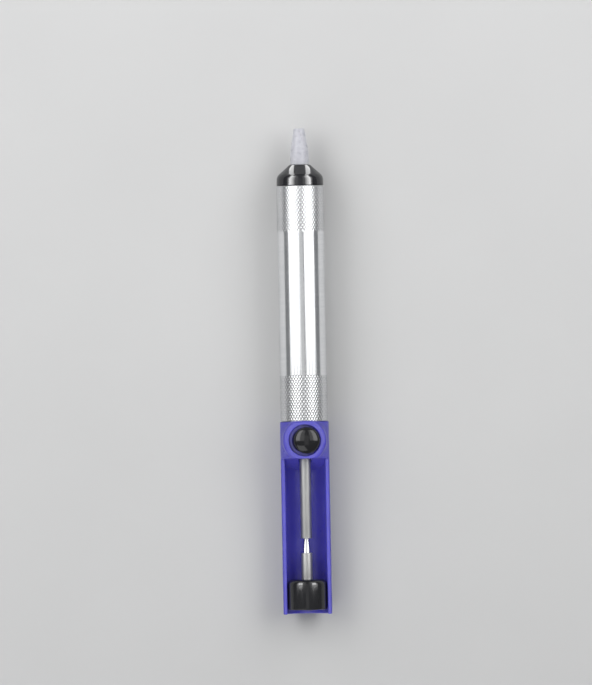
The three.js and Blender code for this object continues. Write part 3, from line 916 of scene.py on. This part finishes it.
def make_push_button():
    """A domed cap on a stem, which is slotted for the latch plate's tab."""
    low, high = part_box("push_button")
    middle = (low.x + high.x) / 2 / MM
    radius = (high.x - low.x) / 2 / MM
    bottom, top = heights("push_button")
    dome_rise = top - BUTTON_SHOULDER
    stem_radius = 2.9
    latch_start, latch_end, _ = span("latch_plate")
    tab_top = heights("latch_plate")[1] + LATCH_CLEARANCE
    slot_half = LATCH_TAB_HALF + middle + LATCH_CLEARANCE

    def distance(x, station, height):
        out = np.hypot(x - middle, station - BUTTON_STATION)
        rise = np.maximum(height - BUTTON_SHOULDER, 0) / dome_rise
        across = out / radius
        level = np.sqrt(across ** 2 + rise ** 2)
        slope = np.sqrt((across / radius) ** 2 + (rise / dome_rise) ** 2)
        # The half ellipsoid's own equation, divided by its slope to make it a distance.
        dome = (level - 1) * level / np.maximum(slope, 1e-6)
        cap = shared(dome, BUTTON_UNDERSIDE - height, edge=0.2)
        stem = shared(out - stem_radius, between(height, bottom, BUTTON_SHOULDER), edge=0.15)
        slot = np.maximum(np.abs(x - middle) - slot_half,
                          between(station, latch_start - LATCH_CLEARANCE, latch_end + LATCH_CLEARANCE))
        return cut(joined(cap, stem, fillet=0.3), np.maximum(slot, height - tab_top), edge=0.1)

    shaped_piece("push_button", distance, cell=0.16)


def make_latch_plate():
    """A stamped plate with a tall hole for the rod, and a tab that the button sits on."""
    start, end, half = span("latch_plate")
    bottom, top = heights("latch_plate")
    plate_top = 5.4
    tab_bottom = 4.0
    hole_half = 2.5
    hole_bottom = -2.45
    hole_top = 4.4

    def distance(x, station, height):
        side = np.abs(x)
        plate = shared(side - half, between(height, bottom, plate_top), edge=0.5)
        tab = shared(side - LATCH_TAB_HALF, between(height, tab_bottom, top), edge=0.15)
        hole = shared(side - hole_half, between(height, hole_bottom, hole_top), edge=0.3)
        outline = cut(joined(plate, tab, fillet=0.3), hole)
        return shared(outline, between(station, start, end), edge=0.12)

    shaped_piece("latch_plate", distance, cell=0.16)


# ---------------------------------------------------------------- assembly

make_nozzle()
for o_ring in ("nozzle_o_ring", "nose_cap_o_ring", "piston_o_ring"):
    make_o_ring(o_ring)
make_nose_cap()
make_barrel()
make_ring("spring_seat", inner=6.4, edge=0.12)
make_main_spring()
make_cleaning_pin()
make_piston_nut()
make_piston()
make_ring("piston_washer", inner=ROD_THREAD_RADIUS + RUNNING_GAP, edge=0.12)
make_plunger_rod()
make_knob()
make_ring("knob_insert", inner=ROD_THREAD_RADIUS + SEAM, edge=0.15)
make_ring("rear_bumper", inner=2.7, edge=0.3)
make_rod_guide_bush()
make_handle()
make_push_button()
make_latch_plate()
make_button_spring()


# ---------------------------------------------------------------- floor, light and camera

def make_floor():
    """A plain pale floor, wide enough to fill every view."""
    reach = 6.0
    mesh = bpy.data.meshes.new("floor")
    corners = [(-reach, -reach, 0), (reach, -reach, 0), (reach, reach, 0), (-reach, reach, 0)]
    mesh.from_pydata(corners, [], [(0, 1, 2, 3)])
    finish = Finish("floor", IOR=1.4, Specular_IOR_Level=0.2)
    cloud = finish.noise(60.0, 2.0)
    mesh.materials.append(finish.done(
        Base_Color=finish.mixed(cloud, (0.53, 0.53, 0.53), (0.56, 0.56, 0.56)),
        Roughness=finish.ranged(cloud, 0, 1, 0.6, 0.7)))
    floor = bpy.data.objects.new("floor", mesh)
    bpy.context.scene.collection.objects.link(floor)


def make_light(name, width, length, brightness, only=()):
    """A soft rectangle of light, sized in metres. With only, just these pieces see it.

    brightness is the panel's own, whatever its size.
    """
    light = bpy.data.lights.new(name, "AREA")
    light.shape = "RECTANGLE"
    light.size = width
    light.size_y = length
    light.energy = brightness * math.pi * width * length
    panel = bpy.data.objects.new(name, light)
    panel.visible_camera = False
    bpy.context.scene.collection.objects.link(panel)
    if only:
        seen_by = bpy.data.collections.new(name + "_seen_by")
        for piece in only:
            seen_by.objects.link(bpy.data.objects[piece])
        panel.light_linking.receiver_collection = seen_by
    return panel


def make_panel(name, lean, back, distance, width, length, brightness, middle=0.0, only=()):
    """A light that faces the point on the axis at middle, in metres ahead of the origin.

    It stands over that point, then is swung back and leant to the right, both in degrees.
    """
    panel = make_light(name, width, length, brightness, only)
    turn = Euler((math.radians(back), math.radians(lean), 0))
    out = Vector((0, 0, distance))
    out.rotate(turn)
    panel.location = out + Vector((0, middle, AXIS_HEIGHT))
    panel.rotation_euler = turn


def make_nose_glow(name, x, height, lean, length):
    """A small light that stands beside the nozzle, faces back, and is mirrored only by the nose cap.

    Its middle is x and height millimetres from the axis, and its top leans lean degrees to the right.
    """
    width = 4.5
    station = 5.5
    panel = make_light(name, width * MM, length * MM, brightness=7.5, only=("fine_nose_cap",))
    panel.location = to_frame([x, -station, height])
    panel.rotation_euler = (math.radians(-90), math.radians(lean), 0)


def make_lights():
    """Panels over the whole pump, then those that only some pieces see."""
    # The long panels reach from above the guard to well past the nozzle.
    long = {"back": 0, "distance": 0.85, "length": 1.25, "middle": 0.57}
    high = {"back": 0, "distance": 3.3, "length": 2.4}
    behind = {"back": 44, "distance": 1.2, "width": 1.1, "length": 0.8}
    make_panel("left_softbox", -37, width=0.90, brightness=1.05, **long)
    make_panel("right_softbox", 39, width=0.83, brightness=1.05, **long)
    make_panel("overhead", 0, width=1.0, brightness=0.38, **high)
    make_panel("rear_fill", -36, brightness=1.3, **behind)

    # The wings leave out the barrel, which mirrors enough light without them.
    not_barrel = ["floor"] + ["fine_" + node for node in BODY_OF if node != "barrel"]
    make_panel("left_wing", -46, width=0.50, brightness=2.3, only=not_barrel, **long)
    make_panel("right_wing", 46, width=0.50, brightness=2.3, only=not_barrel, **long)
    # The rest light one piece each, because it is dark or mirrors a part of the studio of its own.
    handle = ("fine_handle",)
    make_panel("handle_fill", 0, width=2.4, brightness=1.7, only=handle, **high)
    make_panel("handle_rear_fill", 0, back=50, distance=1.2, width=1.2, length=0.9, brightness=2.0,
               only=handle)
    make_panel("rod_fill", 36, brightness=1.0, only=("fine_plunger_rod",), **behind)
    # Each streak on the cap is brightest outside and fades inwards: a name, lean, width and brightness.
    streak = [
        ("_outer_glow", 50, 0.17, 15.0),
        ("_middle_glow", 40, 0.13, 9.0),
        ("_inner_glow", 31, 0.13, 3.5),
    ]
    for side, name in ((-1, "left"), (1, "right")):
        make_panel(name + "_barrel_glow", side * 38, back=0, distance=0.85, width=0.62, length=1.15,
                   brightness=1.6, middle=0.6, only=("fine_barrel",))
        make_panel(name + "_button_strip", side * 46, width=0.09, brightness=11.0,
                   only=("fine_push_button",), **long)
        for glow, lean, width, brightness in streak:
            make_panel(name + glow, side * lean, width=width, brightness=brightness,
                       only=("fine_nose_cap",), **long)
        make_panel(name + "_knob_glow", side * 41, back=0, distance=0.85, width=0.36, length=0.44,
                   brightness=11.0, middle=0.2, only=("fine_knob",))
        make_nose_glow(name + "_cone_glow", side * 8.2, height=3.5, lean=0, length=16)
        make_nose_glow(name + "_shoulder_glow", side * 11, height=13.4, lean=side * 32, length=4.8)


def make_world():
    """A dim, slightly cool studio all round."""
    world = bpy.data.worlds.new("studio")
    world.use_nodes = True
    background = world.node_tree.nodes["Background"]
    background.inputs["Color"].default_value = (0.96, 0.98, 1.0, 1.0)
    background.inputs["Strength"].default_value = 0.22
    bpy.context.scene.world = world


def make_camera():
    """Straight above the pump, rolled slightly so that the nozzle leans left."""
    height = 3.0
    data = bpy.data.cameras.new("camera")
    data.lens = 392.7
    data.sensor_width = 36
    data.clip_end = 20
    camera = bpy.data.objects.new("camera", data)
    # The picture's middle is a little left of the axis and ahead of the pump's middle.
    camera.location = (-0.00275, 0.0116, AXIS_HEIGHT + height)
    camera.rotation_euler = (0, 0, math.radians(-1.06))
    bpy.context.scene.collection.objects.link(camera)
    bpy.context.scene.camera = camera


make_floor()
make_world()
make_lights()
make_camera()
bpy.context.scene.view_settings.view_transform = "Standard"
